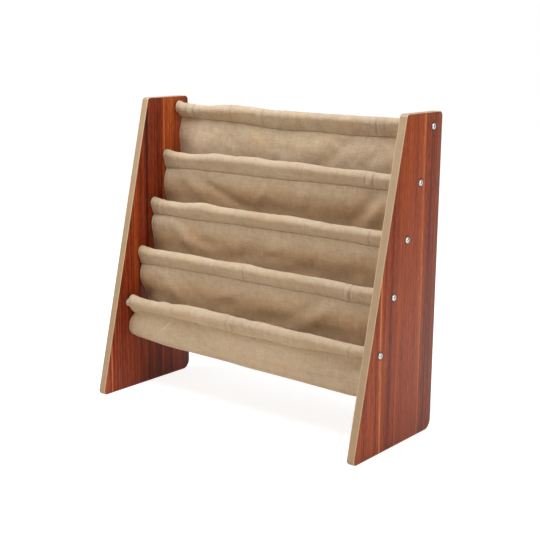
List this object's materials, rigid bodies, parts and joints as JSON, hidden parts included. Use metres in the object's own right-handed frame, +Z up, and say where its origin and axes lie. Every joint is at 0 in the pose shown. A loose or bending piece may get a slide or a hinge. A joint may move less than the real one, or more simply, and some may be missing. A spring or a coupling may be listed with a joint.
{
  "type": "sling bookshelf",
  "caption": "Low children's book rack: two sloping side panels joined by steel rods that carry a canvas sling of stepped book pockets.",
  "frame": {"origin": "on the floor, in the middle of the width and of the depth of the whole rack", "axes": "+X across the width, towards the right panel seen from the front; the front of the rack faces -Y; +Z up"},
  "size_m": [0.6204, 0.2538, 0.586],
  "materials": {
    "wood_board": "reddish brown wood grain laminate, satin",
    "edge_band": "tan edge tape, satin",
    "coated_rod": "pale grey coating, satin",
    "threaded_plug": "zinc plated",
    "plated_bolt": "bright zinc plated",
    "canvas": "plain woven khaki canvas, matte"
  },
  "bodies": {
    "root": {"board_left": "wood_board", "board_right": "wood_board", "edge_band_left": "edge_band", "edge_band_right": "edge_band", "rod_1": "coated_rod", "rod_2": "coated_rod", "rod_3": "coated_rod", "rod_4": "coated_rod", "rod_5": "coated_rod", "plug_left_1": "threaded_plug", "plug_left_2": "threaded_plug", "plug_left_3": "threaded_plug", "plug_left_4": "threaded_plug", "plug_left_5": "threaded_plug", "plug_right_1": "threaded_plug", "plug_right_2": "threaded_plug", "plug_right_3": "threaded_plug", "plug_right_4": "threaded_plug", "plug_right_5": "threaded_plug", "bolt_left_1": "plated_bolt", "bolt_left_2": "plated_bolt", "bolt_left_3": "plated_bolt", "bolt_left_4": "plated_bolt", "bolt_left_5": "plated_bolt", "bolt_right_1": "plated_bolt", "bolt_right_2": "plated_bolt", "bolt_right_3": "plated_bolt", "bolt_right_4": "plated_bolt", "bolt_right_5": "plated_bolt", "sleeve_1": "canvas", "sleeve_2": "canvas", "sleeve_3": "canvas", "sleeve_4": "canvas", "sleeve_5": "canvas", "pocket_1": "canvas", "pocket_2": "canvas", "pocket_3": "canvas", "pocket_4": "canvas"}
  },
  "joints": []
}
